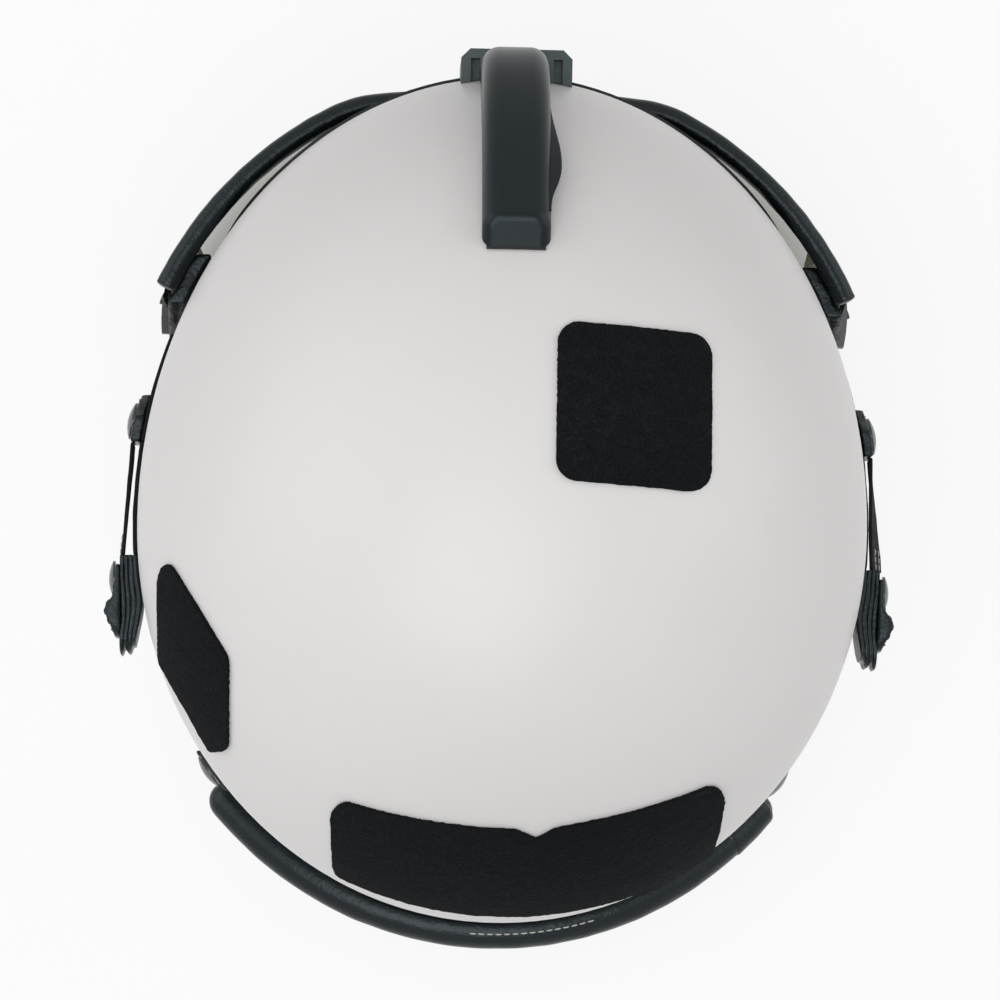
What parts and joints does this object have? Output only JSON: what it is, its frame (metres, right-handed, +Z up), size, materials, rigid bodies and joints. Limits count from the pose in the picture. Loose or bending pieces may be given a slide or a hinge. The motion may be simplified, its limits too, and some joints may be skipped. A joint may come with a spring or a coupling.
{
  "type": "pilot flight helmet",
  "caption": "Egg-shaped flight helmet with elastic-hung wrap-round visor, goggle mount on the brow, hook-and-loop patches, ear cups, padded nape roll and chin strap.",
  "frame": {"origin": "centre of the bounding box's bottom face, at the level the helmet stands on", "axes": "the wearer faces -Y, +X is the wearer's left, +Z is up towards the crown"},
  "size_m": [0.2614, 0.2966, 0.2348],
  "materials": {
    "shell_paint": "satin off-white paint over a moulded composite shell",
    "beading": "matt black moulded rubber",
    "roll_leather": "black leather, soft sheen",
    "loop_fabric": "black brushed loop fabric",
    "elastic_web": "black woven elastic",
    "mount_moulding": "satin black moulding",
    "shoe_metal": "dark anodised, satin",
    "gasket_rubber": "matt black",
    "steel": "plain",
    "stud_black": "black, satin",
    "lens_tint": "smoke-tinted clear moulding",
    "liner_foam": "black closed-cell foam",
    "pad_cover": "dark grey brushed cloth over foam",
    "cup_moulding": "dark grey, fine texture",
    "speaker_can": "black",
    "cup_foam": "dark grey open foam",
    "seal_skin": "black, smooth"
  },
  "bodies": {
    "helmet": {"brow_pad": "pad_cover", "button_spring": "steel", "chin_anchor_left": "cup_moulding", "chin_anchor_right": "cup_moulding", "chin_pad": "roll_leather", "chin_strap_left": "elastic_web", "chin_strap_right": "elastic_web", "crown_pad": "pad_cover", "crown_patch": "loop_fabric", "cup_spacer_left": "cup_foam", "cup_spacer_right": "cup_foam", "edge_bead": "beading", "impact_liner": "liner_foam", "inner_elastic_left": "elastic_web", "inner_elastic_right": "elastic_web", "mount_gasket": "gasket_rubber", "mount_screws": "steel", "mount_shoe": "shoe_metal", "mount_spine": "mount_moulding", "nape_pad": "pad_cover", "nape_roll": "roll_leather", "nape_stud_left": "stud_black", "nape_stud_right": "stud_black", "nape_tab_left": "roll_leather", "nape_tab_right": "roll_leather", "outer_elastic_left": "elastic_web", "outer_elastic_right": "elastic_web", "outer_shell": "shell_paint", "pull_tab_left": "roll_leather", "pull_tab_right": "roll_leather", "rear_pad": "pad_cover", "rear_patch": "loop_fabric", "rear_stud_left": "stud_black", "rear_stud_right": "stud_black", "rear_tabs_left": "roll_leather", "rear_tabs_right": "roll_leather", "side_patch": "loop_fabric"},
    "visor": {"visor_lens": "lens_tint", "visor_roll": "roll_leather", "visor_pad_left": "roll_leather", "visor_pad_right": "roll_leather", "visor_rivets": "stud_black", "side_strap_left": "elastic_web", "side_strap_right": "elastic_web", "front_tab_left": "roll_leather", "front_tab_right": "roll_leather", "front_stud_left": "stud_black", "front_stud_right": "stud_black"},
    "release": {"release_button": "mount_moulding"},
    "pawl": {"latch_pawl": "steel"},
    "ear_left": {"earcup_left": "cup_moulding", "speaker_left": "speaker_can", "cup_foam_left": "cup_foam", "ear_seal_left": "seal_skin"},
    "ear_right": {"earcup_right": "cup_moulding", "speaker_right": "speaker_can", "cup_foam_right": "cup_foam", "ear_seal_right": "seal_skin"}
  },
  "joints": [
    {"name": "visor_pull", "type": "slide", "parent": "helmet", "child": "visor", "axis": [0, -1, 0], "range_m": [0, 0.035], "stiffness_N_per_m": 250, "deforming": ["inner_elastic_left", "inner_elastic_right", "outer_elastic_left", "outer_elastic_right"]},
    {"name": "release_press", "type": "slide", "parent": "helmet", "child": "release", "axis": [1, 0, 0], "range_m": [0, 0.002], "stiffness_N_per_m": 600, "deforming": ["button_spring"]},
    {"name": "latch_retract", "type": "slide", "parent": "helmet", "child": "pawl", "axis": [-1, 0, 0], "range_m": [0, 0.002]},
    {"name": "ear_float_left", "type": "slide", "parent": "helmet", "child": "ear_left", "axis": [1, 0, 0], "range_m": [0, 0.004], "stiffness_N_per_m": 900, "deforming": ["cup_spacer_left"]},
    {"name": "ear_float_right", "type": "slide", "parent": "helmet", "child": "ear_right", "axis": [-1, 0, 0], "range_m": [0, 0.004], "stiffness_N_per_m": 900, "deforming": ["cup_spacer_right"]}
  ],
  "couplings": [
    {"joint": "latch_retract", "follows": "release_press", "ratio": 1}
  ]
}
